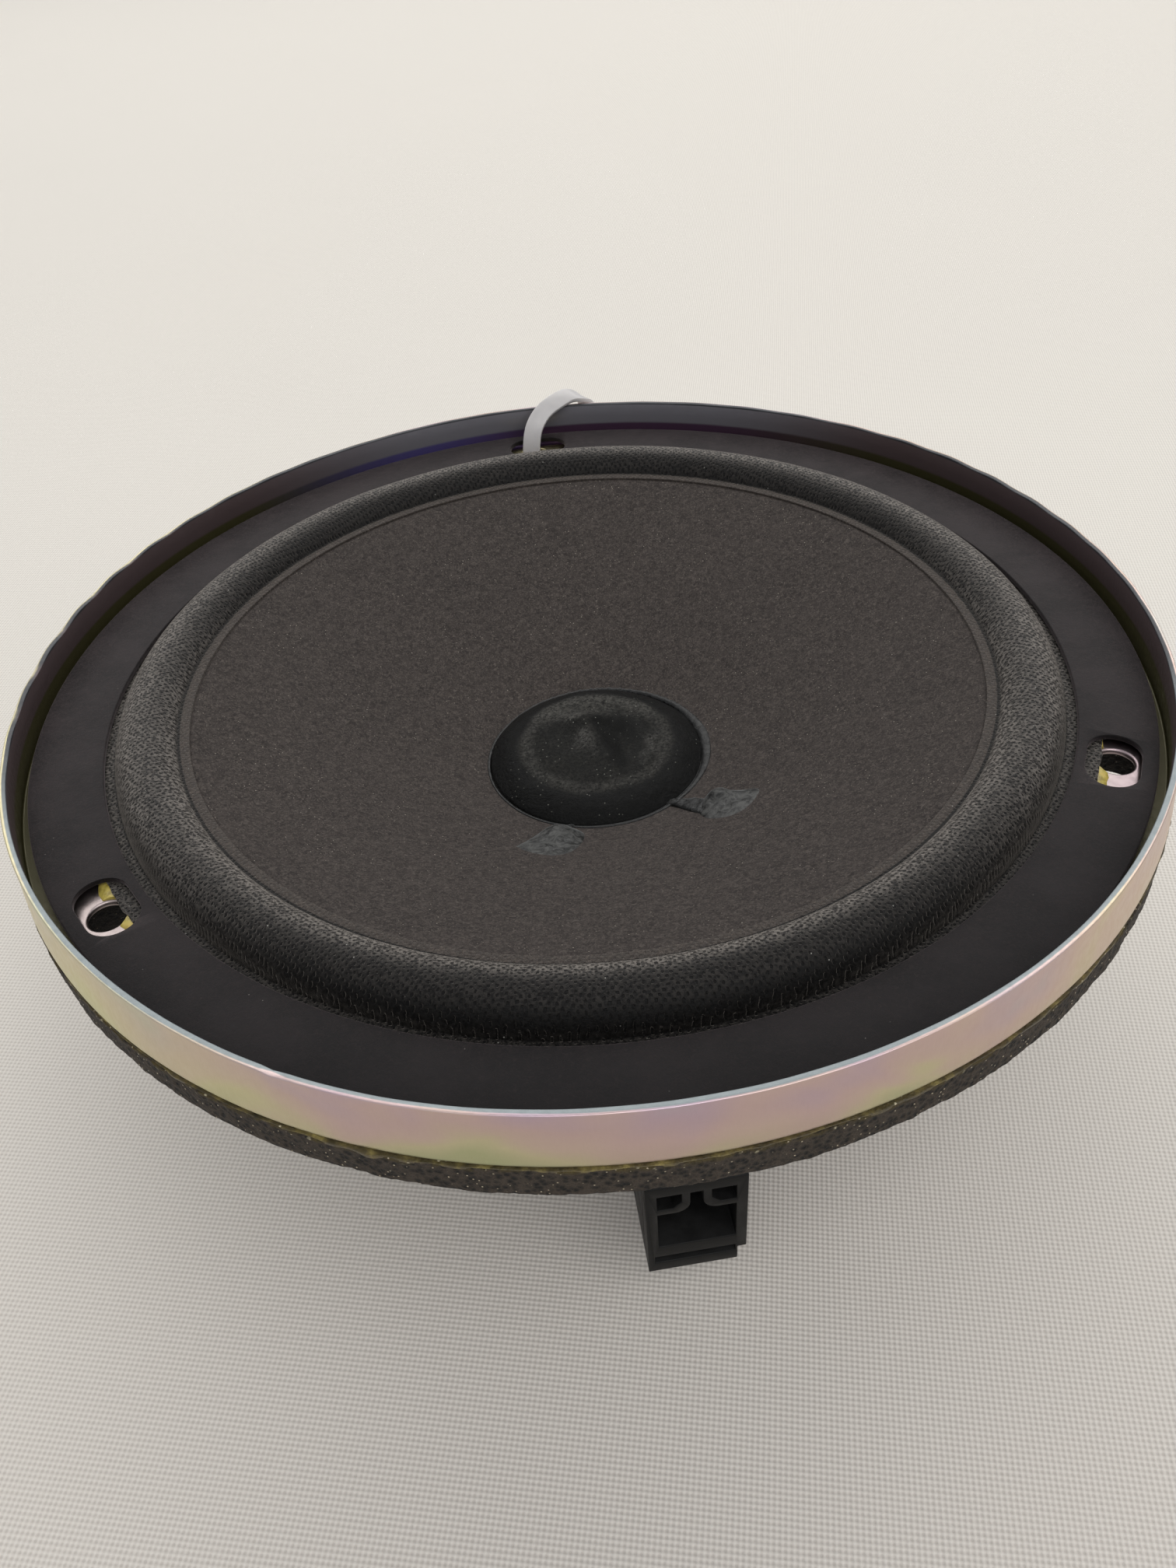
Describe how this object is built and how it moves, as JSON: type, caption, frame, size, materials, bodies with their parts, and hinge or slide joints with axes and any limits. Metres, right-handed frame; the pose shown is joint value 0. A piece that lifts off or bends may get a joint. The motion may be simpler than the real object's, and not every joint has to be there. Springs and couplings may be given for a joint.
{
  "type": "car door loudspeaker",
  "caption": "Round car door loudspeaker with a deep steel rim, cone, cloth surround, foam gasket, motor and plug socket.",
  "frame": {"origin": "centre of the back plate's rear face, on the speaker's axis", "axes": "+Z along the axis towards the cone's front; -Y towards the side that the plug socket faces, 5.4 degrees off; +X to the right seen from that side"},
  "size_m": [0.1666, 0.1732, 0.0684],
  "materials": {
    "zinc_steel": "pressed steel, iridescent clear zinc passivation",
    "black_card": "matt black fibre card",
    "black_foam": "open cell foam with an amber adhesive film",
    "natural_nylon": "natural translucent nylon",
    "plain_steel": "zinc plated steel",
    "black_plastic": "moulded, low sheen",
    "tinned_brass": "tin plated",
    "ferrite": "ground ferrite",
    "coated_cloth": "woven cloth with damping coat",
    "resin_cloth": "phenolic dipped cotton",
    "tinsel_wire": "braided tinsel",
    "cone_paper": "pressed black paper pulp",
    "cap_paper": "pressed black paper, coated",
    "coil_film": "amber film",
    "enamelled_copper": "enamelled copper wire",
    "clear_glue": "cloudy clear adhesive",
    "black_glue": "black adhesive"
  },
  "bodies": {
    "frame": {"basket": "zinc_steel", "front_gasket_ring": "black_card", "foam_gasket": "black_foam", "cable_tie": "natural_nylon", "plate_rivet_1": "plain_steel", "plate_rivet_2": "plain_steel", "plate_rivet_3": "plain_steel", "plate_rivet_4": "plain_steel", "connector_housing": "black_plastic", "terminal_left": "tinned_brass", "terminal_right": "tinned_brass", "connector_rivet": "plain_steel", "back_plate": "plain_steel", "pole_piece": "plain_steel", "magnet": "ferrite", "top_plate": "plain_steel", "surround": "coated_cloth", "spider": "resin_cloth", "tinsel_lead_left": "tinsel_wire", "tinsel_lead_right": "tinsel_wire"},
    "cone_assembly": {"cone": "cone_paper", "dust_cap": "cap_paper", "voice_coil_former": "coil_film", "voice_coil_winding": "enamelled_copper", "lead_dot_left": "clear_glue", "lead_dot_right": "clear_glue", "coil_lead_left": "black_glue", "coil_lead_right": "black_glue"}
  },
  "joints": [
    {"name": "cone_travel", "type": "slide", "parent": "frame", "child": "cone_assembly", "axis": [0, 0, 1], "range_m": [-0.004, 0.004], "stiffness_N_per_m": 1500, "deforming": ["surround", "spider", "tinsel_lead_left", "tinsel_lead_right"]}
  ]
}
